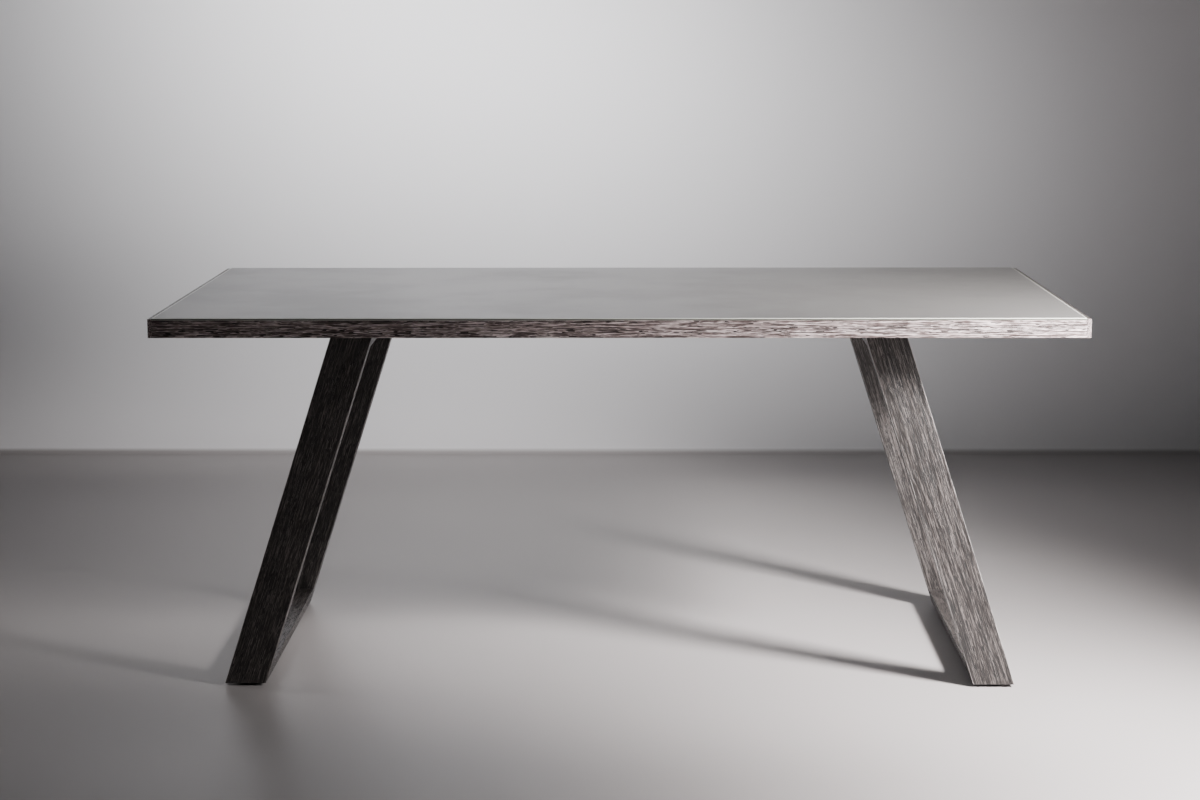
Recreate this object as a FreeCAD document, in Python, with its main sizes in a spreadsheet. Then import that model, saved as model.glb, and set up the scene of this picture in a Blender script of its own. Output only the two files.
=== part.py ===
# Extendable dining table: a one-piece frosted glass top on a hollow oak-veneered slab,
# two leaning loop leg frames, and at each end a pull-out frame that carries a spare leaf.
# Millimetres, +Z up, +X to the right, +Y to the rear; the origin is on the floor under the middle.
# Every piece is first drawn for the right-hand side; the left-hand side is the same piece
# turned half a turn about the vertical axis through the origin.

import FreeCAD, Part
import Sketcher
import os
import re

os.makedirs("parts", exist_ok=True)
doc = FreeCAD.newDocument("ExtendableTable")

# ---------------------------------------------------------------- driving dimensions

DIMENSIONS = {
    # overall
    "table_length": 1800,
    "table_width": 900,
    "table_height": 760,
    "slab_height": 38,
    # top
    "glass_thickness": 4,
    "glass_arris": 1.2,
    "tape_thickness": 0.5,
    "tape_width": 14,
    "tape_inset": 2,
    "core_thickness": 6,
    # slab
    "rail_thickness": 18,
    "rabbet_depth": 10,
    "panel_thickness": 6,
    "panel_gap": 0.3,
    "batten_width": 30,
    "wood_arris": 0.6,
    # end fascia
    "fascia_thickness": 8,
    "fascia_gap": 0.3,
    "fascia_drop": 1.5,
    # leg frames
    "leg_top_inset": 339.5,
    "leg_foot_inset": 108.5,
    "bar_width": 78,
    "bar_thickness": 38,
    "leg_set_back": 115,
    "leg_plate_width": 110,
    "glide_height": 6,
    "glide_radius": 26,
    "glide_set_in": 8,
    "glide_bevel": 1.5,
    # pull-out frames and leaves
    "leaf_travel": 450,
    "leaf_glass_thickness": 4,
    "leaf_panel_thickness": 12,
    "leaf_side_gap": 3,
    "leaf_end_gap": 0.5,
    "lipping_width": 6,
    "runner_spare": 50,
    "runner_depth": 13,
    "runner_height": 19,
    "runner_wall": 1.2,
    "runner_lip": 4.3,
    "runner_play": 0.5,
    "runner_lift": 1.25,
    "channel_depth": 6,
    "flange_thickness": 2.6,
    "runner_plug": 14,
    "runner_stop_gap": 2,
    "crossbar_width": 30,
    "crossbar_thickness": 3,
    "crossbar_inset": 12,
    "crossbar_tab_height": 12,
    "crossbar_tab_thickness": 2,
    "rest_length": 60,
    "rest_play": 0.3,
    "rest_spread": 300,
    "rest_pin_radius": 1,
    "rest_pin_end": 5,
    "catch_width": 40,
    "catch_height": 10,
    "catch_thickness": 1.5,
    # fasteners
    "dowel_radius": 4,
    "dowel_in_leg": 22,
    "dowel_in_rail": 28,
    "dowel_spacing": 36,
    "hole_play": 0.1,
    "bolt_radius": 4,
    "bolt_head_radius": 6.5,
    "bolt_head_height": 5,
    "bolt_recess": 8,
    "bolt_pitch": 200,
    "bolt_clearance": 0.5,
    "bolt_end_gap": 0.5,
    "bolt_socket_radius": 3.4,
    "bolt_socket_depth": 3,
    "screw_radius": 1.8,
    "screw_head_radius": 3.6,
    "screw_head_height": 2.4,
    "screw_length": 18,
    "screw_socket_radius": 1.5,
    "screw_socket_depth": 1.4,
    "screw_end_margin": 32,
    "runner_screw_radius": 1.4,
    "runner_screw_head_radius": 2.6,
    "runner_screw_length": 14,
    "runner_screw_margin": 40,
    "rivet_radius": 1.5,
    "rivet_head_radius": 2.6,
    "rivet_head_height": 0.8,
    "rivet_spacing": 16,
    "pin_radius": 2,
    "pin_length": 18,
    "pin_in_fascia": 6,
    "pin_spacing": 10,
}

sheet = doc.addObject("Spreadsheet::Sheet", "Sizes")
for row, (alias, value) in enumerate(DIMENSIONS.items(), start=1):
    sheet.set(f"A{row}", alias)
    sheet.set(f"B{row}", str(value))
    sheet.setAlias(f"B{row}", alias)
doc.recompute()

# Lengths worked out from the driving dimensions, as formulas of the sheet's cells.
DERIVED = {
    # heights
    "slab_bottom": "table_height - slab_height",
    "panel_top": "slab_bottom + panel_thickness",
    "glass_bottom": "table_height - glass_thickness",
    "core_top": "glass_bottom - tape_thickness",
    "core_bottom": "core_top - core_thickness",
    # plan of the slab
    "fascia_plane": "table_length / 2 - fascia_thickness",
    "rail_end": "fascia_plane - fascia_gap",
    "rail_face": "table_width / 2 - rail_thickness",
    "panel_reach": "rail_face + rabbet_depth - panel_gap",
    # leg frames
    "leg_rise": "slab_bottom - glide_height",
    "leg_top_reach": "table_length / 2 - leg_top_inset",
    "leg_foot_reach": "table_length / 2 - leg_foot_inset",
    "lean": "(leg_foot_reach - leg_top_reach) / leg_rise",
    "bar_run": "bar_width * sqrt(1 + lean * lean)",
    "rail_shift": "lean * bar_thickness",
    "leg_back": "table_width / 2 - leg_set_back - bar_thickness",
    "leg_front": "table_width / 2 - leg_set_back",
    "top_rail_middle": "leg_top_reach + rail_shift / 2 - bar_run / 2",
    "floor_rail_middle": "leg_foot_reach - rail_shift / 2 - bar_run / 2",
    "plate_inner": "top_rail_middle - leg_plate_width / 2",
    "plate_outer": "top_rail_middle + leg_plate_width / 2",
    # pull-out frame
    "runner_bottom": "panel_top + runner_lift",
    "runner_start": "rail_end - leaf_travel - runner_spare",
    "runner_face": "rail_face - runner_depth",
    "leaf_bottom": "runner_bottom + crossbar_thickness",
    "leaf_glass_bottom": "leaf_bottom + leaf_panel_thickness",
    "leaf_length": "leaf_travel - 2 * leaf_end_gap",
    "leaf_end": "fascia_plane - leaf_end_gap",
    "leaf_start": "leaf_end - leaf_length",
    "leaf_side": "runner_face - leaf_side_gap",
    "rest_rise": "table_height - leaf_glass_thickness - leaf_panel_thickness - leaf_bottom",
    "rest_width": "rest_rise + crossbar_thickness",
    "inner_bar_start": "runner_start + crossbar_inset / 2",
    "outer_bar_start": "fascia_plane - crossbar_inset - crossbar_width",
    "batten_end": "runner_start - crossbar_inset",
    "batten_start": "batten_end - batten_width",
    "screw_line": "rail_face + rabbet_depth / 2",
}


def expand(formula):
    """Write a formula out in terms of the sheet's cells."""
    def swap(match):
        word = match.group(0)
        if word in DERIVED:
            return "(" + expand(DERIVED[word]) + ")"
        if word in DIMENSIONS:
            return "Sizes." + word
        return word
    return re.sub(r"[a-z][a-z_]*", swap, str(formula))


def value(formula):
    """The present value of a formula."""
    return float(sheet.evalExpression(expand(formula)))


# ---------------------------------------------------------------- drawing helpers

TURN = {"right": 0, "left": 180}
pieces = {}


def bind(thing, **formulas):
    """Bind an object's properties to formulas of the sheet's cells."""
    for prop, formula in formulas.items():
        thing.setExpression(prop, expand(formula))


def place(thing, x="0", y="0", z="0", side="right"):
    """Put a right-hand drawing in place, or turn it half round to the left-hand side."""
    turn = FreeCAD.Rotation(FreeCAD.Vector(0, 0, 1), TURN[side])
    thing.Placement = FreeCAD.Placement(FreeCAD.Vector(), turn)
    sign = "-1 * " if side == "left" else ""
    thing.setExpression("Placement.Base.x", expand(f"{sign}({x})"))
    thing.setExpression("Placement.Base.y", expand(f"{sign}({y})"))
    thing.setExpression("Placement.Base.z", expand(z))
    return thing


def block(name, low, high, side="right"):
    """A box between two corners, each an (x, y, z) of formulas."""
    box = doc.addObject("Part::Box", name)
    bind(box, Length=f"({high[0]}) - ({low[0]})", Width=f"({high[1]}) - ({low[1]})",
         Height=f"({high[2]}) - ({low[2]})")
    return place(box, *low, side)


def rod(name, start, axis, radius, length, side="right", tip=None):
    """A cylinder from a start point along +X, +Y, -Y or +Z, or a cone when tip gives its far radius."""
    if tip is None:
        piece = doc.addObject("Part::Cylinder", name)
        bind(piece, Radius=radius, Height=length)
    else:
        piece = doc.addObject("Part::Cone", name)
        bind(piece, Radius1=radius, Radius2=tip, Height=length)
    place(piece, *start, side)
    lay = {"x": FreeCAD.Rotation(FreeCAD.Vector(0, 1, 0), 90),
           "y": FreeCAD.Rotation(FreeCAD.Vector(1, 0, 0), -90),
           "-y": FreeCAD.Rotation(FreeCAD.Vector(1, 0, 0), 90),
           "z": FreeCAD.Rotation()}[axis]
    half_turn = FreeCAD.Rotation(FreeCAD.Vector(0, 0, 1), TURN[side])
    piece.Placement = FreeCAD.Placement(piece.Placement.Base, half_turn.multiply(lay))
    return piece


def cut(name, base, tools):
    """A base piece with every tool taken out of it."""
    result = doc.addObject("Part::Cut", name)
    result.Base = base
    result.Tool = tools[0] if len(tools) == 1 else group(name + "_tools", tools)
    return result


def fuse(name, shapes):
    """Several shapes made into one solid."""
    result = doc.addObject("Part::MultiFuse", name)
    result.Shapes = shapes
    return result


def group(name, shapes):
    """Several separate solids kept as one piece, such as a set of screws."""
    result = doc.addObject("Part::Compound", name)
    result.Links = shapes
    return result


def sketch_on(body, role, name):
    """A sketch on one of a body's own origin planes."""
    plane = [item for item in body.Origin.OriginFeatures if item.Role == role][0]
    sketch = body.newObject("Sketcher::SketchObject", name)
    sketch.AttachmentSupport = (plane, "")
    sketch.MapMode = "FlatFace"
    return sketch


def outline(sketch, corners):
    """A closed outline whose corners are pinned at (across, up) formulas, none of them negative."""
    rough = [FreeCAD.Vector(value(across), value(up), 0) for across, up in corners]
    count = len(corners)
    for index in range(count):
        sketch.addGeometry(Part.LineSegment(rough[index], rough[(index + 1) % count]))
    for index in range(count):
        sketch.addConstraint(Sketcher.Constraint("Coincident", index, 2, (index + 1) % count, 1))
    for index, (across, up) in enumerate(corners):
        for kind, axis, formula in (("DistanceX", -2, across), ("DistanceY", -1, up)):
            if str(formula) == "0":
                sketch.addConstraint(Sketcher.Constraint("PointOnObject", index, 1, axis))
                continue
            pin = sketch.addConstraint(Sketcher.Constraint(kind, -1, 1, index, 1, value(formula)))
            sketch.setExpression(f"Constraints[{pin}]", expand(formula))


def prism(name, role, corners, length, arris, pick):
    """A padded outline whose picked edges are taken off; pick sees an edge's middle and its run."""
    body = doc.addObject("PartDesign::Body", name)
    sketch = sketch_on(body, role, name + "_outline")
    outline(sketch, corners)
    pad = body.newObject("PartDesign::Pad", name + "_pad")
    pad.Profile = sketch
    bind(pad, Length=length)
    doc.recompute()
    edges = []
    for index, edge in enumerate(pad.Shape.Edges, start=1):
        first, last = edge.Vertexes[0].Point, edge.Vertexes[-1].Point
        if pick((first + last) / 2, last - first):
            edges.append(f"Edge{index}")
    chamfer = body.newObject("PartDesign::Chamfer", name + "_arris")
    chamfer.Base = (pad, edges)
    bind(chamfer, Size=arris)
    body.Tip = chamfer
    return body


def arris_block(name, low, high, size, side="right", beyond=0):
    """A box whose edges are taken off, or only those whose middles lie further out than beyond."""
    solid = block(name + "_blank", low, high, side)
    doc.recompute()
    chamfer = doc.addObject("Part::Chamfer", name)
    chamfer.Base = solid
    chamfer.Edges = [(index, value(size), value(size))
                     for index, edge in enumerate(solid.Shape.Edges, start=1)
                     if abs(edge.CenterOfMass.x) >= beyond]
    return chamfer


def keep(name, thing):
    """Name a finished piece: its label is its file's name."""
    thing.Label = name
    pieces[name] = thing
    return thing


def mirror_span(row, near, far):
    """The low and high of a span from near to far of the middle, in front of it when row is -1."""
    return (near, far) if row > 0 else (f"-1 * ({far})", f"-1 * ({near})")


def row_of(side, end):
    """Where a front or rear piece of a side is drawn: the left side is turned half round."""
    facing = 1 if end == "rear" else -1
    return facing if side == "right" else -facing


def countersunk_screw(name, x, y, z, length, play="0", socket=True):
    """A screw driven up from below: a cone head flush with z, a shank above it."""
    head = rod(name + "_head", (x, y, z), "z", f"screw_head_radius + {play}", "screw_head_height",
               tip=f"screw_radius + {play}")
    shank = rod(name + "_shank", (x, y, f"{z} + screw_head_height"), "z", f"screw_radius + {play}",
                f"{length} - screw_head_height")
    screw = fuse(name + "_body", [head, shank])
    if not socket:
        return screw
    recess = doc.addObject("Part::Prism", name + "_socket")
    recess.Polygon = 6
    bind(recess, Circumradius="screw_socket_radius", Height="screw_socket_depth")
    place(recess, x, y, z)
    return cut(name, screw, [recess])


# ---------------------------------------------------------------- top and slab

HALF_WIDTH = "table_width / 2"


def make_top():
    keep("top_glass", arris_block("glass", ("-1 * rail_end", f"-1 * {HALF_WIDTH}", "glass_bottom"),
                                  ("rail_end", HALF_WIDTH, "table_height"), "glass_arris"))
    tapes = []
    outer = f"{HALF_WIDTH} - tape_inset"
    for row in (-1, 1):
        low, high = mirror_span(row, f"{outer} - tape_width", outer)
        tapes.append(block(f"long_tape_{len(tapes)}", ("-1 * (rail_end - tape_inset)", low, "core_top"),
                           ("rail_end - tape_inset", high, "glass_bottom")))
        low, high = mirror_span(row, "rail_end - tape_inset - tape_width", "rail_end - tape_inset")
        side = f"{outer} - tape_width - tape_inset"
        tapes.append(block(f"end_tape_{len(tapes)}", (low, f"-1 * ({side})", "core_top"),
                           (high, side, "glass_bottom")))
    length = "rail_end - 2 * tape_inset - tape_width"
    tapes.append(block("middle_tape", (f"-1 * ({length})", "-1 * tape_width / 2", "core_top"),
                       (length, "tape_width / 2", "glass_bottom")))
    keep("glass_bond_tape", group("tapes", tapes))
    keep("top_core_panel", block("core", ("-1 * rail_end", "-1 * rail_face", "core_bottom"),
                                 ("rail_end", "rail_face", "core_top")))


def make_edge_rails():
    rise = "core_top - slab_bottom"
    corners = [("rabbet_depth", "0"), ("rail_thickness", "0"), ("rail_thickness", rise),
               ("0", rise), ("0", "panel_thickness"), ("rabbet_depth", "panel_thickness")]
    for name, side in (("rear_edge_rail", "right"), ("front_edge_rail", "left")):
        outermost = value("rail_thickness")
        rail = prism(name + "_section", "YZ_Plane", corners, "2 * rail_end", "wood_arris",
                     lambda middle, run: abs(run.x) > 1 and middle.y > outermost - 1)
        keep(name, place(rail, "-1 * rail_end", "rail_face", "slab_bottom", side))


def make_battens():
    low, high = "-1 * rail_face", "rail_face"
    keep("centre_batten", block("middle_batten", ("-1 * batten_width / 2", low, "panel_top"),
                                ("batten_width / 2", high, "core_bottom")))
    for side in TURN:
        batten = block(side + "_batten", ("batten_start", low, "panel_top"),
                       ("batten_end", high, "core_bottom"), side)
        keep(side + "_pocket_batten", batten)


def make_underside():
    """Panels and steel leg plates in the rails' rabbets, each drilled for its countersunk screws."""
    margin = "screw_end_margin"
    spans = {
        "underside_centre_panel": ("right", "-1 * (plate_inner - panel_gap)", "plate_inner - panel_gap",
                                   [f"-1 * (plate_inner - {margin})", "0", f"plate_inner - {margin}"]),
    }
    for side in TURN:
        spans[side + "_underside_panel"] = (side, "plate_outer + panel_gap", "rail_end",
                                            [f"plate_outer + {margin}", f"rail_end - {margin}"])
        spans[side + "_leg_plate"] = (side, "plate_inner", "plate_outer",
                                      [f"plate_inner + {margin} / 2", f"plate_outer - {margin} / 2"])
    screws = {"panel_screws": [], "plate_screws": []}
    for name, (side, low, high, lines) in spans.items():
        sheet_piece = block(name + "_blank", (low, "-1 * panel_reach", "slab_bottom"),
                            (high, "panel_reach", "panel_top"), side)
        kind = "plate_screws" if name.endswith("plate") else "panel_screws"
        sign = "-1 * " if side == "left" else ""
        holes = []
        for line in lines:
            for row in ("", "-1 * "):
                spot = (f"{sign}({line})", f"{row}screw_line", "slab_bottom")
                tag = f"{name}_{len(holes)}"
                screws[kind].append(countersunk_screw(tag, *spot, "screw_length"))
                holes.append(countersunk_screw(tag + "_hole", *spot, "screw_length", "hole_play", False))
        if kind == "plate_screws":
            for place_along in (-1, 0, 1):
                holes.append(rod(f"{name}_bolt_hole_{len(holes)}",
                                 ("top_rail_middle", f"{place_along} * bolt_pitch", "slab_bottom - 1"), "z",
                                 "bolt_radius + hole_play", "panel_thickness + 2", side))
        keep(name, cut(name + "_drilled", sheet_piece, holes))
    for kind, made in screws.items():
        keep(kind, group(kind + "_set", made))


# ---------------------------------------------------------------- leg frames

def dowels(name, side, play="0"):
    """Two dowels across each of the four corners of a leg frame."""
    made = []
    levels = (("floor_rail_middle", "glide_height + bar_thickness / 2"),
              ("top_rail_middle", "slab_bottom - bar_thickness / 2"))
    for middle, level in levels:
        for row in (-1, 1):
            start = "leg_back - dowel_in_rail" if row > 0 else "-1 * (leg_back + dowel_in_leg)"
            for shift in ("-1", "1"):
                spot = (f"{middle} + {shift} * dowel_spacing / 2", f"{start} - {play} * 5", level)
                made.append(rod(f"{name}_{len(made)}", spot, "y", f"dowel_radius + {play}",
                                f"dowel_in_leg + dowel_in_rail + {play} * 10", side))
    return made


def bolt(name, y, side):
    """A socket-head bolt up through the top rail into the steel plate."""
    seat = "slab_bottom - bar_thickness + bolt_recess"
    head = rod(name + "_head", ("top_rail_middle", y, f"{seat} - bolt_head_height"), "z",
               "bolt_head_radius", "bolt_head_height", side)
    shank = rod(name + "_shank", ("top_rail_middle", y, seat), "z", "bolt_radius",
                "bar_thickness - bolt_recess + panel_thickness - bolt_end_gap", side)
    socket = doc.addObject("Part::Prism", name + "_socket")
    socket.Polygon = 6
    bind(socket, Circumradius="bolt_socket_radius", Height="bolt_socket_depth")
    place(socket, "top_rail_middle", y, f"{seat} - bolt_head_height", side)
    return cut(name, fuse(name + "_body", [head, shank]), [socket])


def make_leg_frame(side):
    """Two legs, a floor rail and a top rail: one bar section, leaning outwards to the floor."""
    spread = "leg_foot_reach - leg_top_reach"
    leg_corners = [(spread, "0"), (f"{spread} + bar_run", "0"), ("bar_run", "leg_rise"), ("0", "leg_rise")]
    rail_corners = [("rail_shift", "0"), ("rail_shift + bar_run", "0"), ("bar_run", "bar_thickness"),
                    ("0", "bar_thickness")]
    holes = group(side + "_dowel_holes", dowels(side + "_dowel_hole", side, "hole_play"))
    keep(side + "_frame_dowels", group(side + "_dowels", dowels(side + "_dowel", side)))

    for end in ("front", "rear"):
        name = f"{side}_{end}_leg"
        leg = prism(name + "_bar", "XZ_Plane", leg_corners, "bar_thickness", "wood_arris",
                    lambda middle, run: True)
        front_face = "leg_front" if row_of(side, end) > 0 else "-1 * leg_back"
        place(leg, "leg_top_reach - bar_run", front_face, "glide_height", side)
        keep(name, cut(name + "_drilled", leg, [holes]))

    rails = {"floor_rail": ("leg_foot_reach - rail_shift - bar_run", "glide_height"),
             "top_rail": ("leg_top_reach - bar_run", "slab_bottom - bar_thickness")}
    for kind, (start, level) in rails.items():
        name = f"{side}_{kind}"
        rail = prism(name + "_bar", "XZ_Plane", rail_corners, "2 * leg_back", "wood_arris",
                     lambda middle, run: abs(run.y) > 1)
        place(rail, start, "leg_back", level, side)
        tools = [holes]
        if kind == "top_rail":
            for along in (-1, 0, 1):
                spot = ("top_rail_middle", f"{along} * bolt_pitch", "slab_bottom - bar_thickness - 1")
                tools.append(rod(f"{name}_bolt_hole_{along}", spot, "z", "bolt_radius + bolt_clearance",
                                 "bar_thickness + 2", side))
                tools.append(rod(f"{name}_recess_{along}", spot, "z", "bolt_head_radius + bolt_clearance",
                                 "bolt_recess + 1", side))
        keep(name, cut(name + "_drilled", rail, tools))

    bolts = [bolt(f"{side}_bolt_{along}", f"{along} * bolt_pitch", side) for along in (-1, 0, 1)]
    keep(side + "_frame_bolts", group(side + "_bolts", bolts))


def make_glides():
    """A black plastic disc under each foot, with one countersunk screw up into the floor rail."""
    screws = []
    for side in TURN:
        discs = []
        for row in ("", "-1 * "):
            spot = ("leg_foot_reach - bar_run / 2", f"{row}(leg_back - glide_set_in)", "0")
            name = f"{side}_glide_{len(discs)}"
            disc = rod(name, spot, "z", "glide_radius", "glide_height", side)
            doc.recompute()
            bevel = doc.addObject("Part::Chamfer", name + "_bevel")
            bevel.Base = disc
            size = value("glide_bevel")
            bevel.Edges = [(index, size, size) for index, edge in enumerate(disc.Shape.Edges, start=1)
                           if edge.BoundBox.ZLength < 0.1 and edge.BoundBox.ZMax < 1]
            sign = "-1 * " if side == "left" else ""
            seat = (f"{sign}({spot[0]})", f"{sign}({spot[1]})", "glide_bevel")
            screws.append(countersunk_screw(name + "_screw", *seat, "screw_length"))
            hole = countersunk_screw(name + "_hole", *seat, "screw_length", "hole_play", False)
            well = rod(name + "_well", (seat[0], seat[1], "-1"), "z", "screw_head_radius + hole_play",
                       "glide_bevel + 1")
            discs.append(cut(name + "_drilled", bevel, [hole, well]))
        keep(side + "_floor_glides", group(side + "_glides", discs))
    keep("glide_screws", group("glide_screw_set", screws))


# ---------------------------------------------------------------- telescopic runners

def channel(name, side, row, start, end, face, opens_in, plug="0"):
    """A lipped channel along X between two faces; it opens towards the table's middle or edge."""
    low, high = face, f"{face} + channel_depth"
    wall, top = "runner_wall", "runner_bottom + runner_height"
    blank = block(name + "_blank", (start, mirror_span(row, low, high)[0], "runner_bottom"),
                  (end, mirror_span(row, low, high)[1], top), side)
    hollow = mirror_span(row, f"{low} + {wall}", f"{high} - {wall}")
    slot = mirror_span(row, f"{low} - 1", f"{low} + {wall}") if opens_in else \
        mirror_span(row, f"{high} - {wall}", f"{high} + 1")
    stop = f"{end} + 1" if plug == "0" else f"{end} - {plug}"
    lip = f"{wall} + runner_lip"
    inside = block(name + "_hollow", (f"{start} - 1", hollow[0], f"runner_bottom + {wall}"),
                   (stop, hollow[1], f"{top} - {wall}"), side)
    opening = block(name + "_slot", (f"{start} - 1", slot[0], f"runner_bottom + {lip}"),
                    (stop, slot[1], f"{top} - {lip}"), side)
    return cut(name, blank, [inside, opening])


def middle_runner(name, side, row):
    """An I-section that slides in both channels: two flanges and a web through the slots."""
    start, end = "runner_start", "rail_end - runner_plug - runner_stop_gap"
    play = "runner_wall + runner_play"
    low, high = f"runner_bottom + {play}", f"runner_bottom + runner_height - ({play})"
    outer = mirror_span(row, f"rail_face - ({play}) - flange_thickness", f"rail_face - ({play})")
    inner = mirror_span(row, f"runner_face + {play}", f"runner_face + {play} + flange_thickness")
    web = mirror_span(row, f"runner_face + {play} + flange_thickness",
                      f"rail_face - ({play}) - flange_thickness")
    lip = "runner_wall + runner_lip + 2 * runner_play"
    return fuse(name, [
        block(name + "_outer_flange", (start, outer[0], low), (end, outer[1], high), side),
        block(name + "_inner_flange", (start, inner[0], low), (end, inner[1], high), side),
        block(name + "_web", (start, web[0], f"runner_bottom + {lip}"),
              (end, web[1], f"runner_bottom + runner_height - ({lip})"), side),
    ])


def runner_screw(name, side, row, x, play="0"):
    """A flush screw from inside the outer channel into the edge rail."""
    axis = "y" if row > 0 else "-y"
    sign = "" if row > 0 else "-1 * "
    level = "runner_bottom + runner_height / 2"
    head = rod(name + "_head", (x, f"{sign}(rail_face - runner_wall)", level), axis,
               f"runner_screw_head_radius + {play}", "runner_wall", side,
               tip=f"runner_screw_radius + {play}")
    shank = rod(name + "_shank", (x, f"{sign}rail_face", level), axis, f"runner_screw_radius + {play}",
                "runner_screw_length", side)
    return fuse(name, [head, shank])


def make_runners():
    screws = []
    for side in TURN:
        outer, middle, inner = [], [], []
        for row in (-1, 1):
            tag = f"{side}_{'near' if row < 0 else 'far'}"
            rail = channel(tag + "_outer", side, row, "runner_start", "rail_end",
                           "rail_face - channel_depth", True)
            holes = []
            for x in ("runner_start + runner_screw_margin", "(runner_start + rail_end) / 2",
                      "rail_end - runner_screw_margin"):
                name = f"{tag}_runner_screw_{len(holes)}"
                screws.append(runner_screw(name, side, row, x))
                holes.append(runner_screw(name + "_hole", side, row, x, "hole_play"))
            outer.append(cut(tag + "_outer_drilled", rail, holes))
            middle.append(middle_runner(tag + "_middle", side, row))
            bar = channel(tag + "_inner", side, row, "runner_start + fascia_gap", "fascia_plane",
                          "runner_face", False, "runner_plug")
            inner.append(cut(tag + "_inner_drilled", bar, fascia_pins(tag + "_pin_hole", side, row,
                                                                     "hole_play")))
        keep(side + "_outer_runners", group(side + "_outer_pair", outer))
        keep(side + "_middle_runners", group(side + "_middle_pair", middle))
        keep(side + "_inner_runners", group(side + "_inner_pair", inner))
    keep("runner_screws", group("runner_screw_set", screws))


# ---------------------------------------------------------------- pull-out frames and leaves

def fascia_pins(name, side, row, play="0"):
    """Two pins from an inner runner's solid end into the back of the fascia."""
    sign = "" if row > 0 else "-1 * "
    made = []
    for shift in ("-1", "1"):
        spot = (f"fascia_plane + pin_in_fascia - pin_length - {play} * 5",
                f"{sign}(runner_face + channel_depth / 2)",
                f"runner_bottom + runner_height / 2 + {shift} * pin_spacing / 2")
        made.append(rod(f"{name}_{len(made)}", spot, "x", f"pin_radius + {play}",
                        f"pin_length + {play} * 10", side))
    return made


def make_fascia(side):
    board = arris_block(side + "_fascia_board", ("fascia_plane", f"-1 * {HALF_WIDTH}", "slab_bottom"),
                        ("table_length / 2", HALF_WIDTH, "table_height - fascia_drop"), "wood_arris", side,
                        beyond=value("table_length / 2") - 1)
    holes = fascia_pins(side + "_fascia_hole", side, -1, "hole_play") + \
        fascia_pins(side + "_fascia_hole", side, 1, "hole_play")
    keep(side + "_end_fascia", cut(side + "_fascia_drilled", board, holes))
    pins = fascia_pins(side + "_fascia_pin", side, -1) + fascia_pins(side + "_fascia_pin", side, 1)
    keep(side + "_fascia_pins", group(side + "_fascia_pin_set", pins))


def make_crossbars(side):
    """Two flat bars between the inner runners; the leaf lies on them and on their folded rests."""
    bars, rests, pins, rivets = [], [], [], []
    starts = {"inner": "inner_bar_start", "outer": "outer_bar_start"}
    for kind, start in starts.items():
        end = f"{start} + crossbar_width"
        top = "runner_bottom + crossbar_thickness"
        parts = [block(f"{side}_{kind}_flat", (start, "-1 * runner_face", "runner_bottom"),
                       (end, "runner_face", top), side)]
        notches = []
        for row in (-1, 1):
            tag = f"{side}_{kind}_{'near' if row < 0 else 'far'}"
            tab = mirror_span(row, "runner_face - crossbar_tab_thickness", "runner_face")
            parts.append(block(tag + "_tab", (start, tab[0], top),
                               (end, tab[1], "runner_bottom + crossbar_tab_height"), side))
            # each rest lies in a notch on the bar's edge towards the middle of the leaf
            if kind == "inner":
                notch = (f"{end} - rest_width - 2 * rest_play", f"{end} + 1")
                rest = (f"{end} - rest_width - rest_play", f"{end} - rest_play")
                pin_x = f"{end} - rest_width - rest_play + crossbar_thickness / 2"
            else:
                notch = (f"{start} - 1", f"{start} + rest_width + 2 * rest_play")
                rest = (f"{start} + rest_play", f"{start} + rest_width + rest_play")
                pin_x = f"{start} + rest_width + rest_play - crossbar_thickness / 2"
            middle = f"{row} * rest_spread"
            half = "rest_length / 2"
            notches.append(block(tag + "_notch", (notch[0], f"{middle} - {half} - rest_play",
                                                  "runner_bottom - 1"),
                                 (notch[1], f"{middle} + {half} + rest_play", f"{top} + 1"), side))
            rests.append(block(tag + "_rest", (rest[0], f"{middle} - {half}", "runner_bottom"),
                               (rest[1], f"{middle} + {half}", top), side))
            pins.append(rod(tag + "_rest_pin", (pin_x, f"{middle} - {half} - rest_pin_end",
                                                "runner_bottom + crossbar_thickness / 2"), "y",
                            "rest_pin_radius", "rest_length + 2 * rest_pin_end", side))
            rivets += tab_rivets(tag, side, row, f"{start} + crossbar_width / 2")
        bars.append(cut(f"{side}_{kind}_crossbar", fuse(f"{side}_{kind}_bent", parts), notches))
    keep(side + "_cross_bars", group(side + "_bar_pair", bars))
    keep(side + "_leaf_rests", group(side + "_rest_set", rests))
    keep(side + "_rest_pins", group(side + "_rest_pin_set", pins))
    keep(side + "_crossbar_rivets", group(side + "_rivet_set", rivets))


def tab_rivets(tag, side, row, middle):
    """Two rivets that hold a crossbar's upturned tab to the inner runner's web."""
    made = []
    axis, sign = ("y", "") if row > 0 else ("-y", "-1 * ")
    level = "runner_bottom + (crossbar_thickness + crossbar_tab_height) / 2"
    face = "runner_face - crossbar_tab_thickness"
    for shift in ("-1", "1"):
        x = f"{middle} + {shift} * rivet_spacing / 2"
        name = f"{tag}_rivet_{len(made)}"
        head = rod(name + "_head", (x, f"{sign}({face} - rivet_head_height)", level), axis,
                   "rivet_head_radius", "rivet_head_height", side)
        shank = rod(name + "_shank", (x, f"{sign}({face})", level), axis, "rivet_radius",
                    "crossbar_tab_thickness + runner_wall", side)
        made.append(fuse(name, [head, shank]))
    return made


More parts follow.
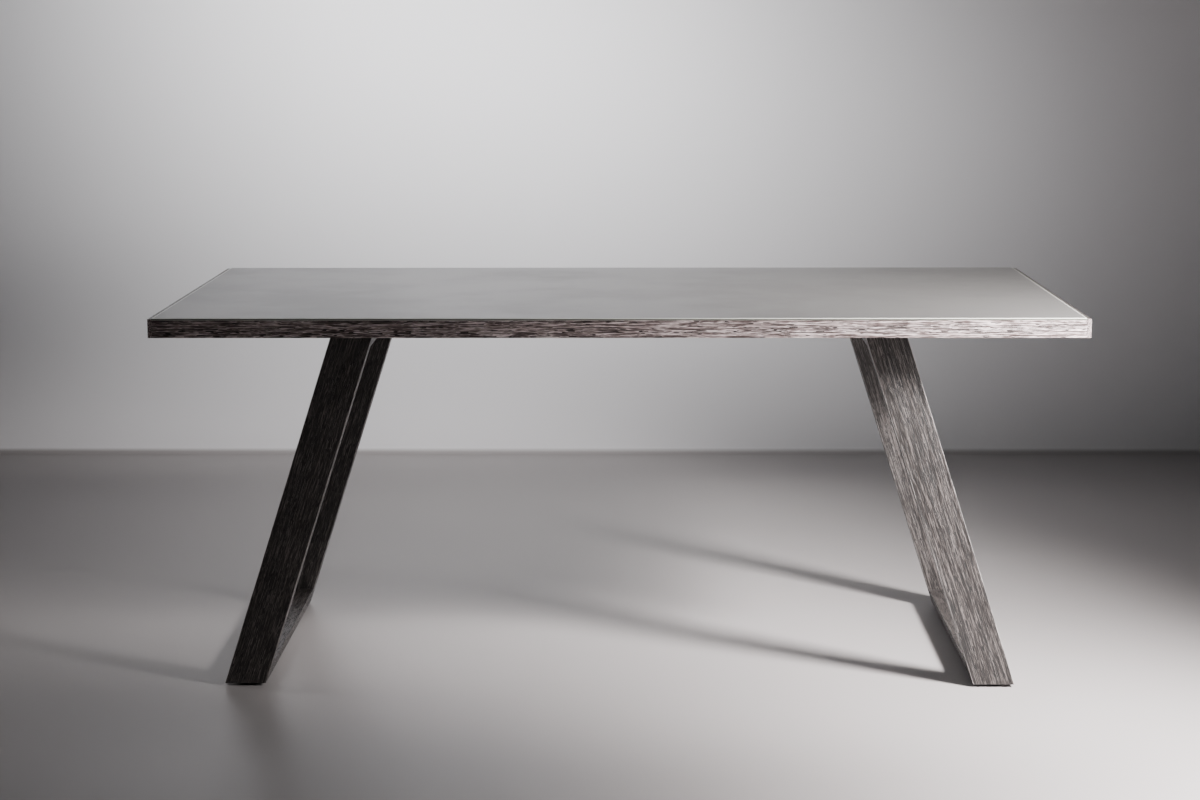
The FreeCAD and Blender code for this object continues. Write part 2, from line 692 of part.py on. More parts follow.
def make_leaf(side):
    side_low, side_high = "-1 * leaf_side", "leaf_side"
    keep(side + "_leaf_glass", arris_block(
        side + "_leaf_plate", ("leaf_start", side_low, "leaf_glass_bottom"),
        ("leaf_end", side_high, "leaf_glass_bottom + leaf_glass_thickness"), "glass_arris", side))
    inset = "lipping_width"
    keep(side + "_leaf_panel", block(
        side + "_leaf_core", (f"leaf_start + {inset}", f"{side_low} + {inset}", "leaf_bottom"),
        (f"leaf_end - {inset}", f"{side_high} - {inset}", "leaf_glass_bottom"), side))
    lippings = []
    for row in (-1, 1):
        low, high = mirror_span(row, f"leaf_side - {inset}", "leaf_side")
        lippings.append(block(f"{side}_long_lipping_{row}", ("leaf_start", low, "leaf_bottom"),
                              ("leaf_end", high, "leaf_glass_bottom"), side))
    for start in ("leaf_start", f"leaf_end - {inset}"):
        lippings.append(block(f"{side}_short_lipping_{len(lippings)}",
                              (start, f"{side_low} + {inset}", "leaf_bottom"),
                              (f"{start} + {inset}", f"{side_high} - {inset}", "leaf_glass_bottom"), side))
    keep(side + "_leaf_lipping", group(side + "_lippings", lippings))


def make_catch(side):
    """A magnet on the pocket batten and a steel strike on the inner crossbar hold the end shut."""
    low, high = "-1 * catch_width / 2", "catch_width / 2"
    keep(side + "_catch_magnet", arris_block(
        side + "_magnet", ("batten_end", low, "leaf_bottom + 1"),
        ("inner_bar_start - fascia_gap", high, "leaf_bottom + 1 + catch_height"), "wood_arris", side))
    keep(side + "_catch_strike", block(
        side + "_strike", ("inner_bar_start", low, "leaf_bottom"),
        ("inner_bar_start + catch_thickness", high, "leaf_bottom + 1 + catch_height"), side))


# ---------------------------------------------------------------- build, check and write

def check_document():
    """Stop if any object failed, or any kept piece is not a valid closed shape."""
    doc.recompute()
    for thing in doc.Objects:
        if "Invalid" in thing.State or "Error" in thing.State:
            raise RuntimeError(f"{thing.Name} failed: {thing.State}")
    for name, thing in pieces.items():
        shape = thing.Shape
        if shape.isNull() or not shape.isValid() or not shape.Solids:
            raise RuntimeError(f"{name} has no valid shape")


make_top()
make_edge_rails()
make_battens()
make_underside()
for table_side in TURN:
    make_leg_frame(table_side)
make_glides()
make_runners()
for table_side in TURN:
    make_fascia(table_side)
    make_crossbars(table_side)
    make_leaf(table_side)
    make_catch(table_side)
check_document()

for piece_name, piece in pieces.items():
    piece.Shape.exportStep(os.path.join("parts", piece_name + ".step"))
print(f"{len(pieces)} pieces written")
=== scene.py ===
import math
import bmesh
import bpy
from mathutils import Matrix, Vector


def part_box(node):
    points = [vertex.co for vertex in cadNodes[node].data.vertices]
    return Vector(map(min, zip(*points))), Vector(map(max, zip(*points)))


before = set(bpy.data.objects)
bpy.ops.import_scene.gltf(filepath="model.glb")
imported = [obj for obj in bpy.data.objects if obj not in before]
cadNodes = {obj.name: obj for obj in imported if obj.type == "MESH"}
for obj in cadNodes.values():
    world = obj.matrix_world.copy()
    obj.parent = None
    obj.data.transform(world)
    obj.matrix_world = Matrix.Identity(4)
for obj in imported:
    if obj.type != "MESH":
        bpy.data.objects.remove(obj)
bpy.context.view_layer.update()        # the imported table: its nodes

print("frame loaded:", len(cadNodes), "nodes")


# small helpers for node trees

def feed(tree, socket, value):
    if isinstance(value, bpy.types.NodeSocket):
        tree.links.new(value, socket)
    else:
        socket.default_value = value


def addNode(tree, kind, inputs=None, **settings):
    made = tree.nodes.new(kind)
    for key, value in settings.items():
        setattr(made, key, value)
    for key, value in (inputs or {}).items():
        feed(tree, made.inputs[key], value)
    return made


def mathNode(tree, operation, first, second=0.0):
    made = addNode(tree, "ShaderNodeMath", operation=operation)
    feed(tree, made.inputs[0], first)
    feed(tree, made.inputs[1], second)
    return made.outputs[0]


def scaledBy(tree, value, factor):
    return mathNode(tree, "MULTIPLY", value, factor)


def sumOf(tree, *values):
    total = values[0]
    for value in values[1:]:
        total = mathNode(tree, "ADD", total, value)
    return total


def rangeNode(tree, value, low, high, newLow=0.0, newHigh=1.0, smooth=True):
    kind = "SMOOTHSTEP" if smooth else "LINEAR"
    made = addNode(tree, "ShaderNodeMapRange", {"Value": value, "From Min": low, "From Max": high,
                                                "To Min": newLow, "To Max": newHigh},
                   interpolation_type=kind)
    return made.outputs["Result"]


def mixColour(tree, factor, first, second, blend="MIX"):
    made = addNode(tree, "ShaderNodeMix", data_type="RGBA", blend_type=blend)
    feed(tree, made.inputs[0], factor)
    feed(tree, made.inputs[6], first)        # 6, 7 and 2 are the colour sockets
    feed(tree, made.inputs[7], second)
    return made.outputs[2]


def noiseNode(tree, vector, scale, detail, roughness=0.5, stretch=(1, 1, 1)):
    spread = addNode(tree, "ShaderNodeVectorMath", operation="MULTIPLY")
    feed(tree, spread.inputs[0], vector)
    spread.inputs[1].default_value = stretch
    made = addNode(tree, "ShaderNodeTexNoise", {"Vector": spread.outputs[0], "Scale": scale,
                                                "Detail": detail, "Roughness": roughness})
    return made.outputs["Fac"]


def newGroup(name, inputs, outputs):
    group = bpy.data.node_groups.new(name, "ShaderNodeTree")
    for label, kind, value in inputs:
        socket = group.interface.new_socket(label, in_out="INPUT", socket_type="NodeSocket" + kind)
        if value is not None:
            socket.default_value = value
    for label, kind in outputs:
        group.interface.new_socket(label, in_out="OUTPUT", socket_type="NodeSocket" + kind)
    return group, group.nodes.new("NodeGroupInput"), group.nodes.new("NodeGroupOutput")


# open-grained veneer: x runs along the grain, y and z across it, all in metres
# each layer: share of the streak scale, detail, how little it changes along x, share of the tone
grainLayers = {
    "lines": (0.7, 1.0, 0.010, 0.14),
    "streaks": (1.0, 1.0, 0.032, 0.52),
    "ticks": (1.4, 0.0, 0.07, 0.30),
    "fibres": (2.4, 1.5, 0.03, 0.0),
}
growthBands = {"scale": 60.0, "detail": 2.0, "along": 0.02, "toneShare": 0.04}
grainShape = {
    "swayStretch": (0.5, 1.6, 1.6),
    "swayDetail": 1.5,
    "toneRange": (0.41, 0.59),
    "poreLimit": 0.70,
    "poreReach": 0.16,
    "poreEdge": 0.06,
    "ringRange": (0.40, 0.62),
    "ringReach": 0.10,
    "fibreHeight": 0.3,
}


def swayingPath(group, given):
    waves = addNode(group, "ShaderNodeVectorMath", operation="MULTIPLY")
    feed(group, waves.inputs[0], given.outputs["Vector"])
    waves.inputs[1].default_value = grainShape["swayStretch"]
    sway = addNode(group, "ShaderNodeTexNoise", {
        "Vector": waves.outputs[0], "Detail": grainShape["swayDetail"],
        "Scale": given.outputs["Wave Scale"]})
    swing = addNode(group, "ShaderNodeVectorMath", operation="SUBTRACT")
    feed(group, swing.inputs[0], sway.outputs["Color"])
    swing.inputs[1].default_value = (0.5, 0.5, 0.5)        # the noise's mean
    bend = addNode(group, "ShaderNodeVectorMath", operation="SCALE")
    feed(group, bend.inputs[0], swing.outputs[0])
    feed(group, bend.inputs["Scale"], given.outputs["Waviness"])
    bent = addNode(group, "ShaderNodeVectorMath", operation="ADD")
    feed(group, bent.inputs[0], given.outputs["Vector"])
    feed(group, bent.inputs[1], bend.outputs[0])
    return bent.outputs[0]


def makeGrainGroup():
    group, given, out = newGroup(
        "openGrain",
        [("Vector", "Vector", None), ("Waviness", "Float", 0.003), ("Wave Scale", "Float", 14.0),
         ("Streak Scale", "Float", 400.0), ("Pore Amount", "Float", 0.5)],
        [("Tone", "Float"), ("Pores", "Float"), ("Height", "Float"), ("Bands", "Float")])
    path = swayingPath(group, given)
    streakScale = given.outputs["Streak Scale"]
    bands = noiseNode(group, path, growthBands["scale"], growthBands["detail"],
                      stretch=(growthBands["along"], 1, 1))
    layers = {}
    tones = []
    for layer, (scaleShare, detail, along, toneShare) in grainLayers.items():
        scale = scaledBy(group, streakScale, scaleShare)
        layers[layer] = noiseNode(group, path, scale, detail, stretch=(along, 1, 1))
        if toneShare:
            tones.append(scaledBy(group, layers[layer], toneShare))
    tones.append(scaledBy(group, bands, growthBands["toneShare"]))

    tone = rangeNode(group, sumOf(group, *tones), *grainShape["toneRange"])
    ringPores = scaledBy(group, rangeNode(group, bands, *grainShape["ringRange"]),
                         grainShape["ringReach"])
    poreShare = scaledBy(group, given.outputs["Pore Amount"], grainShape["poreReach"])
    limit = mathNode(group, "SUBTRACT", grainShape["poreLimit"], sumOf(group, ringPores, poreShare))
    fullPore = mathNode(group, "ADD", limit, grainShape["poreEdge"])
    pores = rangeNode(group, layers["ticks"], limit, fullPore)
    height = mathNode(group, "SUBTRACT",
                      scaledBy(group, layers["fibres"], grainShape["fibreHeight"]), pores)
    for label, value in (("Tone", tone), ("Pores", pores), ("Height", height), ("Bands", bands)):
        feed(group, out.inputs[label], value)
    return group


# broad smudges from hands and cloths, which only change the roughness
wearShape = {"scale": 3.2, "detail": 4.0, "roughness": 0.6, "smudgeRange": (0.40, 0.68)}


def makeWearGroup():
    group, given, out = newGroup("handlingWear", [("Vector", "Vector", None), ("Amount", "Float", 0.5)],
                                 [("Smudge", "Float")])
    broad = noiseNode(group, given.outputs["Vector"], wearShape["scale"], wearShape["detail"],
                      wearShape["roughness"])
    smudge = mathNode(group, "MULTIPLY", rangeNode(group, broad, *wearShape["smudgeRange"]),
                      given.outputs["Amount"])
    feed(group, out.inputs["Smudge"], smudge)
    return group


grainGroup = makeGrainGroup()
wearGroup = makeWearGroup()


def startMaterial(name):
    material = bpy.data.materials.new(name)
    material.use_nodes = True
    tree = material.node_tree
    shader = tree.nodes["Principled BSDF"]
    place = tree.nodes.new("ShaderNodeTexCoord").outputs["Object"]
    return material, tree, shader, place


def useGroup(tree, group, **inputs):
    made = tree.nodes.new("ShaderNodeGroup")
    made.node_tree = group
    for key, value in inputs.items():
        feed(tree, made.inputs[key], value)
    return made


def bumpNode(tree, height, strength, distance):
    made = addNode(tree, "ShaderNodeBump", {"Height": height, "Strength": strength,
                                            "Distance": distance})
    return made.outputs["Normal"]


# grain directions, from the leaning legs' own boxes

def leanOf(leg, rail):
    legLow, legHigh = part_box(leg)
    railLow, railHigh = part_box(rail)
    run = (legHigh[0] - legLow[0]) - (railHigh[0] - railLow[0])
    rise = (legHigh[2] - legLow[2]) - (railHigh[2] - railLow[2])
    return run / rise


legLean = leanOf("right_front_leg", "right_floor_rail")
grainTurns = {
    "along": (0.0, 0.0, 0.0),
    "across": (0.0, 0.0, math.radians(-90)),
    "rightLeg": (0.0, math.atan2(-1.0, legLean), 0.0),
    "leftLeg": (0.0, math.atan2(-1.0, -legLean), 0.0),
}

# stained oak in two copies of one wood: the slab's is lightened as painted light and the legs' is
# darkened as painted shade, so the legs are darker than the slab, and every board is its own piece of
# veneer
stains = {
    "shadedLegOak": {"dark": (0.0085, 0.0071, 0.0067, 1), "middle": (0.034, 0.0289, 0.0273, 1),
             "light": (0.116, 0.102, 0.097, 1), "pore": (0.0045, 0.0038, 0.0035, 1),
             "streakScale": 640.0},
    "litSlabOak": {"dark": (0.048, 0.033, 0.031, 1), "middle": (0.300, 0.240, 0.235, 1),
             "light": (0.700, 0.605, 0.600, 1), "pore": (0.020, 0.014, 0.013, 1),
             "streakScale": 600.0},
}
oak = {
    "bandDark": (0.84, 0.82, 0.81, 1),
    "paintedTopShade": (0.045, 0.038, 0.036, 1),
    "arris": (0.31, 0.284, 0.272, 1),
    "arrisWidth": 0.0011,
    "arrisLeast": 0.3,
    "bandRange": (0.35, 0.65),
    "topFacing": (0.80, 0.95),
    "seedStep": (3.17, 1.73, 0.91),
    "wear": 0.08,
    "roughness": 0.36,
    "poreRoughness": 0.70,
    "poreAmount": 0.55,
    "bump": 0.5,
    "bumpDepth": 0.0003,
    "straight": (0.0016, 7.0),
    "wavy": (0.0060, 12.0),
}


def grainPlace(tree, place, turn, shift):
    made = addNode(tree, "ShaderNodeMapping", {"Vector": place, "Location": shift,
                                               "Rotation": grainTurns[turn]})
    return made.outputs["Vector"]


# painted highlight along a leaning leg's arrises: only spots near two of its long faces at once

def edgeHighlightMask(tree, place, node, slope):
    low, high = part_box(node)
    width = high[0] - low[0] - abs(slope) * (high[2] - low[2])
    start = low[0] if slope > 0 else high[0] - width
    spot = addNode(tree, "ShaderNodeSeparateXYZ", {"Vector": place})
    across = sumOf(tree, spot.outputs["X"], scaledBy(tree, spot.outputs["Z"], -slope),
                   slope * low[2] - start)
    across = mathNode(tree, "MINIMUM", across, mathNode(tree, "SUBTRACT", width, across))
    across = scaledBy(tree, across, 1 / math.hypot(1, slope))
    middle, half = (low[1] + high[1]) / 2, (high[1] - low[1]) / 2
    away = mathNode(tree, "ABSOLUTE", mathNode(tree, "SUBTRACT", spot.outputs["Y"], middle))
    corner = mathNode(tree, "MAXIMUM", across, mathNode(tree, "SUBTRACT", half, away))
    return rangeNode(tree, corner, oak["arrisWidth"], oak["arrisWidth"] * 0.5)


def oakMaterial(name, turn, seed, stain, figure, shadeTheTop, leg):
    tint = stains[stain]
    material, tree, shader, place = startMaterial(name)
    shift = [seed * step for step in oak["seedStep"]]
    waviness, waveScale = oak[figure]
    grain = useGroup(tree, grainGroup, **{
        "Vector": grainPlace(tree, place, turn, shift), "Waviness": waviness, "Wave Scale": waveScale,
        "Streak Scale": tint["streakScale"], "Pore Amount": oak["poreAmount"]})
    ramp = addNode(tree, "ShaderNodeValToRGB", {"Fac": grain.outputs["Tone"]})
    ramp.color_ramp.elements[0].color = tint["dark"]
    ramp.color_ramp.elements[1].color = tint["light"]
    ramp.color_ramp.elements.new(0.5).color = tint["middle"]
    shade = mixColour(tree, rangeNode(tree, grain.outputs["Bands"], *oak["bandRange"]),
                      oak["bandDark"], (1, 1, 1, 1))
    colour = mixColour(tree, 1.0, ramp.outputs["Color"], shade, "MULTIPLY")
    colour = mixColour(tree, grain.outputs["Pores"], colour, tint["pore"])
    # painted shade: the fascias' upward faces are darkened
    if shadeTheTop:
        facing = addNode(tree, "ShaderNodeSeparateXYZ", {"Vector": tree.nodes.new(
            "ShaderNodeNewGeometry").outputs["Normal"]})
        topShadeMask = rangeNode(tree, facing.outputs["Z"], *oak["topFacing"])
        colour = mixColour(tree, topShadeMask, colour, oak["paintedTopShade"])
    # painted highlight: a light line along the leg's arrises, varied with the grain
    if leg:
        slope = legLean if leg.startswith("left") else -legLean
        uneven = rangeNode(tree, grain.outputs["Tone"], 0.0, 1.0, oak["arrisLeast"], 1.0)
        edgeHighlight = mathNode(tree, "MULTIPLY", edgeHighlightMask(tree, place, leg, slope), uneven)
        colour = mixColour(tree, edgeHighlight, colour, oak["arris"])
    feed(tree, shader.inputs["Base Color"], colour)
    wear = useGroup(tree, wearGroup, Vector=place, Amount=oak["wear"])
    rough = rangeNode(tree, grain.outputs["Pores"], 0.0, 1.0, oak["roughness"], oak["poreRoughness"])
    rough = mathNode(tree, "ADD", rough, wear.outputs["Smudge"])
    feed(tree, shader.inputs["Roughness"], rough)
    feed(tree, shader.inputs["Normal"], bumpNode(tree, grain.outputs["Height"], oak["bump"],
                                                 oak["bumpDepth"]))
    return material


# frosted glass: etched and colour-backed on its faces, ground and greenish on its edges, with a painted
# highlight on its chamfers and a painted glow line round its faces

glass = {
    "face": (0.130, 0.126, 0.121, 1),
    "faceDeep": (0.121, 0.117, 0.112, 1),
    "edge": (0.060, 0.066, 0.052, 1),
    "arris": (0.62, 0.63, 0.58, 1),
    "paintedRimGlow": (0.86, 0.85, 0.80, 1),
    "rimWidth": 0.0030,
    "roughness": 0.36,
    "edgeRoughness": 0.16,
    "roughnessSway": 0.03,
    "faceFacing": (0.85, 0.95),
    "edgeFacing": (0.35, 0.15),
    "cloud": (2.2, 3.0, 0.5),
    "cloudRange": (0.3, 0.7),
    "etch": (2600.0, 2.0, 0.6),
    "etchRange": (0.2, 0.8),
    "etchBump": (0.05, 0.00002),
    "refraction": 1.52,
    "wear": 0.06,
}


# painted highlight: a thin bright line painted around the etched face, standing in for light taken in
# at the glass's ends

def paintedGlowMask(tree, place, node):
    low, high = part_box(node)
    spot = addNode(tree, "ShaderNodeSeparateXYZ", {"Vector": place})
    insets = []
    for axis, label in enumerate("XY"):
        middle, half = (low[axis] + high[axis]) / 2, (high[axis] - low[axis]) / 2
        away = mathNode(tree, "ABSOLUTE", mathNode(tree, "SUBTRACT", spot.outputs[label], middle))
        insets.append(mathNode(tree, "SUBTRACT", half, away))
    inset = mathNode(tree, "MINIMUM", *insets)
    return rangeNode(tree, inset, glass["rimWidth"], glass["rimWidth"] * 0.5)


def glassMaterial(name, node, seed):
    material, tree, shader, place = startMaterial(name)
    facing = addNode(tree, "ShaderNodeSeparateXYZ", {"Vector": tree.nodes.new(
        "ShaderNodeNewGeometry").outputs["Normal"]})
    upright = mathNode(tree, "ABSOLUTE", facing.outputs["Z"])
    isFace = rangeNode(tree, upright, *glass["faceFacing"])
    isEdge = rangeNode(tree, upright, *glass["edgeFacing"])
    offset = addNode(tree, "ShaderNodeMapping", {"Vector": place, "Location": (seed, seed, seed)})
    cloud = noiseNode(tree, offset.outputs["Vector"], *glass["cloud"])
    etch = noiseNode(tree, offset.outputs["Vector"], *glass["etch"])
    wear = useGroup(tree, wearGroup, Vector=offset.outputs["Vector"], Amount=glass["wear"])
    face = mixColour(tree, rangeNode(tree, cloud, *glass["cloudRange"]), glass["faceDeep"],
                     glass["face"])
    # painted glow line along the rim of the faces
    face = mixColour(tree, paintedGlowMask(tree, place, node), face, glass["paintedRimGlow"])
    # the chamfers take a whitish ground-glass colour, lightened further as a painted highlight
    rim = mixColour(tree, isEdge, glass["arris"], glass["edge"])
    feed(tree, shader.inputs["Base Color"], mixColour(tree, isFace, rim, face))
    sway = glass["roughnessSway"]
    etched = rangeNode(tree, etch, *glass["etchRange"], glass["roughness"] - sway,
                       glass["roughness"] + sway)
    rough = mathNode(tree, "ADD", etched, wear.outputs["Smudge"])
    rough = rangeNode(tree, isFace, 0.0, 1.0, glass["edgeRoughness"], rough, False)
    feed(tree, shader.inputs["Roughness"], rough)
    shader.inputs["IOR"].default_value = glass["refraction"]
    feed(tree, shader.inputs["Normal"], bumpNode(tree, etch, *glass["etchBump"]))
    return material


# plainer finishes: board, foil, powder coat, zinc, anodised extrusion, nylon, tape

finishes = {
    "fibreboard": {"light": (0.115, 0.092, 0.074, 1), "dark": (0.072, 0.058, 0.048, 1), "scale": 420.0,
                   "stretch": (1, 1, 1), "roughness": (0.72, 0.86), "bump": 0.25, "metal": 0.0},
    "underFoil": {"light": (0.052, 0.045, 0.041, 1), "dark": (0.033, 0.029, 0.027, 1), "scale": 300.0,
                  "stretch": (0.03, 1, 1), "roughness": (0.48, 0.62), "bump": 0.15, "metal": 0.0},
    "plainBatten": {"light": (0.520, 0.380, 0.250, 1), "dark": (0.390, 0.270, 0.165, 1), "scale": 160.0,
                    "stretch": (1, 0.03, 1), "roughness": (0.60, 0.74), "bump": 0.3, "metal": 0.0},
    "powderCoat": {"light": (0.026, 0.026, 0.027, 1), "dark": (0.018, 0.018, 0.019, 1), "scale": 900.0,
                   "stretch": (1, 1, 1), "roughness": (0.42, 0.58), "bump": 0.3, "metal": 0.0},
    "zincPlate": {"light": (0.62, 0.62, 0.63, 1), "dark": (0.44, 0.44, 0.46, 1), "scale": 240.0,
                  "stretch": (1, 1, 1), "roughness": (0.24, 0.42), "bump": 0.1, "metal": 1.0},
    "anodised": {"light": (0.66, 0.66, 0.67, 1), "dark": (0.54, 0.54, 0.55, 1), "scale": 1300.0,
                 "stretch": (0.004, 1, 1), "roughness": (0.26, 0.40), "bump": 0.12, "metal": 1.0},
    "nylon": {"light": (0.020, 0.020, 0.021, 1), "dark": (0.013, 0.013, 0.014, 1), "scale": 700.0,
              "stretch": (1, 1, 1), "roughness": (0.50, 0.66), "bump": 0.2, "metal": 0.0},
    "foamTape": {"light": (0.022, 0.022, 0.022, 1), "dark": (0.008, 0.008, 0.008, 1), "scale": 1600.0,
                 "stretch": (1, 1, 1), "roughness": (0.85, 0.95), "bump": 0.4, "metal": 0.0},
}
grit = {"detail": 4.0, "roughness": 0.6, "toneRange": (0.32, 0.68), "roughRange": (0.3, 0.7),
        "bumpDepth": 0.0001, "wear": 0.12}


def finishMaterial(name):
    look = finishes[name]
    material, tree, shader, place = startMaterial(name)
    speckle = noiseNode(tree, place, look["scale"], grit["detail"], grit["roughness"],
                        look["stretch"])
    wear = useGroup(tree, wearGroup, Vector=place, Amount=grit["wear"])
    tone = rangeNode(tree, speckle, *grit["toneRange"])
    feed(tree, shader.inputs["Base Color"], mixColour(tree, tone, look["dark"], look["light"]))
    rough = rangeNode(tree, speckle, *grit["roughRange"], *look["roughness"])
    feed(tree, shader.inputs["Roughness"], mathNode(tree, "ADD", rough, wear.outputs["Smudge"]))
    feed(tree, shader.inputs["Normal"], bumpNode(tree, speckle, look["bump"], grit["bumpDepth"]))
    shader.inputs["Metallic"].default_value = look["metal"]
    return material


dressed = set()


def dress(node, material):
    dressed.add(node)
    for slot in cadNodes[node].material_slots:
        slot.material = material


# every node of the table gets its finish

sides = ("left", "right")
plain = {name: finishMaterial(name) for name in finishes}

# each veneered piece: its material's name, grain direction, seed, stain and figure
veneered = {
    "front_edge_rail": ("oakFrontRail", "along", 1.0, "litSlabOak", "wavy"),
    "rear_edge_rail": ("oakRearRail", "along", 2.3, "litSlabOak", "wavy"),
    "left_end_fascia": ("leftOakFascia", "across", 3.1, "litSlabOak", "wavy"),
    "right_end_fascia": ("rightOakFascia", "across", 4.1, "litSlabOak", "wavy"),
    "left_leaf_lipping": ("leftOakLipping", "along", 15.0, "litSlabOak", "straight"),
    "right_leaf_lipping": ("rightOakLipping", "along", 16.0, "litSlabOak", "straight"),
    "left_front_leg": ("leftFrontLeg", "leftLeg", 5.2, "shadedLegOak", "straight"),
    "left_rear_leg": ("leftRearLeg", "leftLeg", 6.5, "shadedLegOak", "straight"),
    "right_front_leg": ("rightFrontLeg", "rightLeg", 7.9, "shadedLegOak", "straight"),
    "right_rear_leg": ("rightRearLeg", "rightLeg", 9.2, "shadedLegOak", "straight"),
    "left_floor_rail": ("leftRail0", "across", 11.4, "shadedLegOak", "straight"),
    "left_top_rail": ("leftRail1", "across", 12.1, "shadedLegOak", "straight"),
    "right_floor_rail": ("rightRail0", "across", 13.3, "shadedLegOak", "straight"),
    "right_top_rail": ("rightRail1", "across", 14.0, "shadedLegOak", "straight"),
}
for node, (name, turn, seed, stain, figure) in veneered.items():
    leg = node if node.endswith("_leg") else None
    dress(node, oakMaterial(name, turn, seed, stain, figure, node.endswith("_fascia"), leg))

# each glass plate: its material's name and seed
glazed = {
    "top_glass": ("frostedTop", 0.0),
    "left_leaf_glass": ("leftFrostedLeaf", 7.0),
    "right_leaf_glass": ("rightFrostedLeaf", 8.0),
}
for node, (name, seed) in glazed.items():
    dress(node, glassMaterial(name, node, seed))

finishOf = {
    "glass_bond_tape": "foamTape", "top_core_panel": "fibreboard", "centre_batten": "plainBatten",
    "left_pocket_batten": "plainBatten", "right_pocket_batten": "plainBatten",
    "underside_centre_panel": "underFoil", "left_underside_panel": "underFoil",
    "right_underside_panel": "underFoil", "panel_screws": "zincPlate", "plate_screws": "zincPlate",
    "runner_screws": "zincPlate", "glide_screws": "zincPlate",
}
sideFinishes = {
    "leg_plate": "powderCoat", "frame_dowels": "plainBatten", "frame_bolts": "powderCoat",
    "floor_glides": "nylon", "outer_runners": "anodised", "middle_runners": "anodised",
    "inner_runners": "anodised", "catch_magnet": "nylon", "catch_strike": "zincPlate",
    "fascia_pins": "zincPlate", "cross_bars": "powderCoat", "crossbar_rivets": "zincPlate",
    "leaf_rests": "powderCoat", "rest_pins": "zincPlate", "leaf_panel": "underFoil",
}
for side in sides:
    for part, finish in sideFinishes.items():
        finishOf[f"{side}_{part}"] = finish
for node, finish in finishOf.items():
    dress(node, plain[finish])
print("materials on", len(dressed), "of", len(cadNodes), "nodes")


# studio: pale floor running up into a pale wall

studio = {"wallBehind": 2.19, "coveRadius": 0.02, "halfWidth": 9.0, "front": -9.0, "wallHeight": 6.0,
          "coveSteps": 4, "floor": (0.325, 0.305, 0.302, 1), "wall": (0.80, 0.79, 0.805, 1),
          "wallStarts": (0.005, 0.02), "floorRoughness": 0.42, "wallRoughness": 0.9,
          "air": (0.80, 0.82, 0.85, 1), "airStrength": 0.04}


def studioMaterial():
    material, tree, shader, place = startMaterial("studioPaint")
    height = addNode(tree, "ShaderNodeSeparateXYZ", {"Vector": place}).outputs["Z"]
    isWall = rangeNode(tree, height, *studio["wallStarts"])
    feed(tree, shader.inputs["Base Color"], mixColour(tree, isWall, studio["floor"], studio["wall"]))
    feed(tree, shader.inputs["Roughness"], rangeNode(
        tree, isWall, 0.0, 1.0, studio["floorRoughness"], studio["wallRoughness"]))
    # one-sided, so that it doesn't hide the table from behind or below
    back = addNode(tree, "ShaderNodeNewGeometry").outputs["Backfacing"]
    clear = addNode(tree, "ShaderNodeBsdfTransparent").outputs["BSDF"]
    cover = addNode(tree, "ShaderNodeMixShader", {0: back, 1: shader.outputs["BSDF"], 2: clear})
    feed(tree, tree.nodes["Material Output"].inputs["Surface"], cover.outputs[0])
    return material


def makeStudio():
    profile = [(studio["front"], 0.0)]
    for step in range(studio["coveSteps"] + 1):
        turn = math.radians(90) * step / studio["coveSteps"]
        radius = studio["coveRadius"]
        profile.append((studio["wallBehind"] - radius + radius * math.sin(turn),
                        radius - radius * math.cos(turn)))
    profile.append((studio["wallBehind"], studio["wallHeight"]))
    mesh = bmesh.new()
    rows = [[mesh.verts.new((x, y, z)) for y, z in profile]
            for x in (-studio["halfWidth"], studio["halfWidth"])]
    for index in range(len(profile) - 1):
        mesh.faces.new((rows[0][index], rows[1][index], rows[1][index + 1], rows[0][index + 1]))
    data = bpy.data.meshes.new("studioSweep")
    mesh.to_mesh(data)
    mesh.free()
    sweep = bpy.data.objects.new("studioSweep", data)
    bpy.context.collection.objects.link(sweep)
    data.materials.append(studioMaterial())


def areaLight(name, spot, aim, size, power, colour, spread, mirrored):
    data = bpy.data.lights.new(name, "AREA")
    data.shape = "RECTANGLE"
    data.size, data.size_y = size
    data.energy = power
    data.color = colour
    data.spread = math.radians(spread)
    light = bpy.data.objects.new(name, data)
    bpy.context.collection.objects.link(light)
    light.location = spot
    light.visible_camera = False
    light.visible_glossy = mirrored
    light.rotation_mode = "QUATERNION"
    light.rotation_quaternion = (Vector(spot) - Vector(aim)).to_track_quat("Z", "Y")


warm = (1.0, 0.965, 0.96)
cool = (0.99, 0.99, 1.0)
white = (1.0, 1.0, 1.0)
soft = (1.0, 0.99, 0.98)

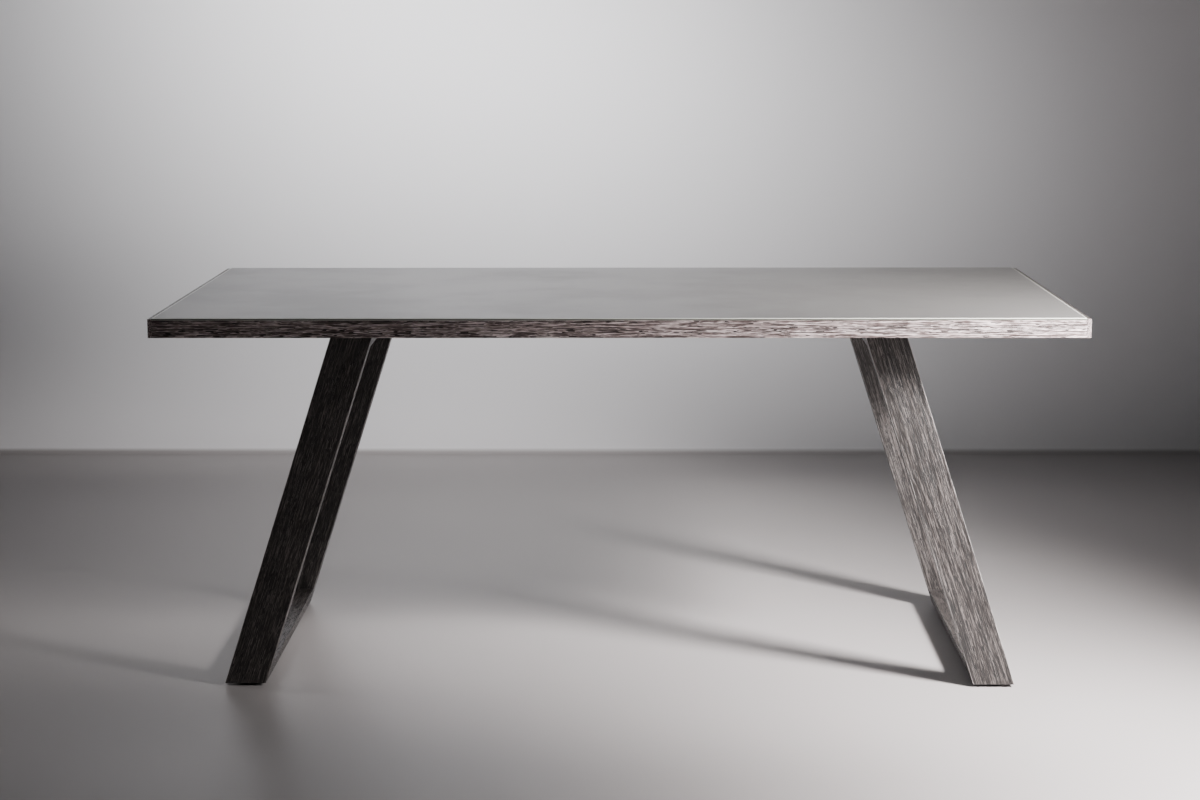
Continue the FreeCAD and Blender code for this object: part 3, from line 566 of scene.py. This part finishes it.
# each light: place, aim, size, watts, colour, spread in degrees and whether gloss mirrors it
lights = {
    "keyLight": ((3.3, -2.5, 3.4), (1.5, -1.3, 0.0), (0.7, 0.7), 100.0, warm, 30, True),
    "edgeLight": ((1.9, -1.4, 1.65), (1.0, -0.5, 0.72), (0.4, 0.4), 28.0, warm, 45, True),
    "lowFill": ((1.7, -1.0, 0.9), (0.9, -0.45, 0.74), (0.3, 0.3), 5.5, warm, 120, True),
    "wallMiddle": ((-0.4, 0.3, 1.8), (-0.4, 2.19, 1.2), (1.2, 0.5), 12.0, cool, 70, True),
    "wallLeft": ((-0.9, 0.6, 1.9), (-1.0, 2.19, 1.6), (0.8, 0.4), 8.0, cool, 90, True),
    "wallRight": ((0.3, 0.8, 1.2), (0.5, 2.19, 0.95), (1.4, 0.3), 1.7, cool, 80, True),
    "topLight": ((0.2, 0.0, 3.2), (0.2, -0.3, 0.0), (2.0, 1.4), 8.5, white, 100, True),
    "leftFill": ((-3.0, 0.5, 0.7), (-0.9, 0.0, 0.4), (0.6, 0.6), 2.8, soft, 50, False),
    "backFill": ((0.0, 2.0, 0.75), (0.0, 0.0, 0.35), (1.8, 0.5), 6.0, soft, 140, False),
}

makeStudio()
for name, values in lights.items():
    areaLight(name, *values)
world = bpy.data.worlds.new("studioAir")
bpy.context.scene.world = world
world.use_nodes = True
air = world.node_tree.nodes["Background"]
air.inputs["Color"].default_value = studio["air"]
air.inputs["Strength"].default_value = studio["airStrength"]
print("studio and lights made")


# camera: standing height, a little right of the middle, looking slightly down

eye = {"place": (0.0319, -4.8866, 1.3356), "yaw": -0.0150, "tilt": 0.1638, "roll": -0.0023,
       "lens": 70.415, "sensor": 36.0}


def makeCamera():
    ahead = Vector((math.sin(eye["yaw"]) * math.cos(eye["tilt"]),
                    math.cos(eye["yaw"]) * math.cos(eye["tilt"]), -math.sin(eye["tilt"])))
    level = Vector((math.cos(eye["yaw"]), -math.sin(eye["yaw"]), 0.0))
    upward = level.cross(ahead)
    right = level * math.cos(eye["roll"]) + upward * math.sin(eye["roll"])
    top = right.cross(ahead)
    data = bpy.data.cameras.new("camera")
    data.lens = eye["lens"]
    data.sensor_width = eye["sensor"]
    camera = bpy.data.objects.new("camera", data)
    bpy.context.collection.objects.link(camera)
    turn = Matrix((right, top, -ahead)).transposed().to_4x4()
    camera.matrix_world = Matrix.Translation(eye["place"]) @ turn
    bpy.context.scene.camera = camera


makeCamera()
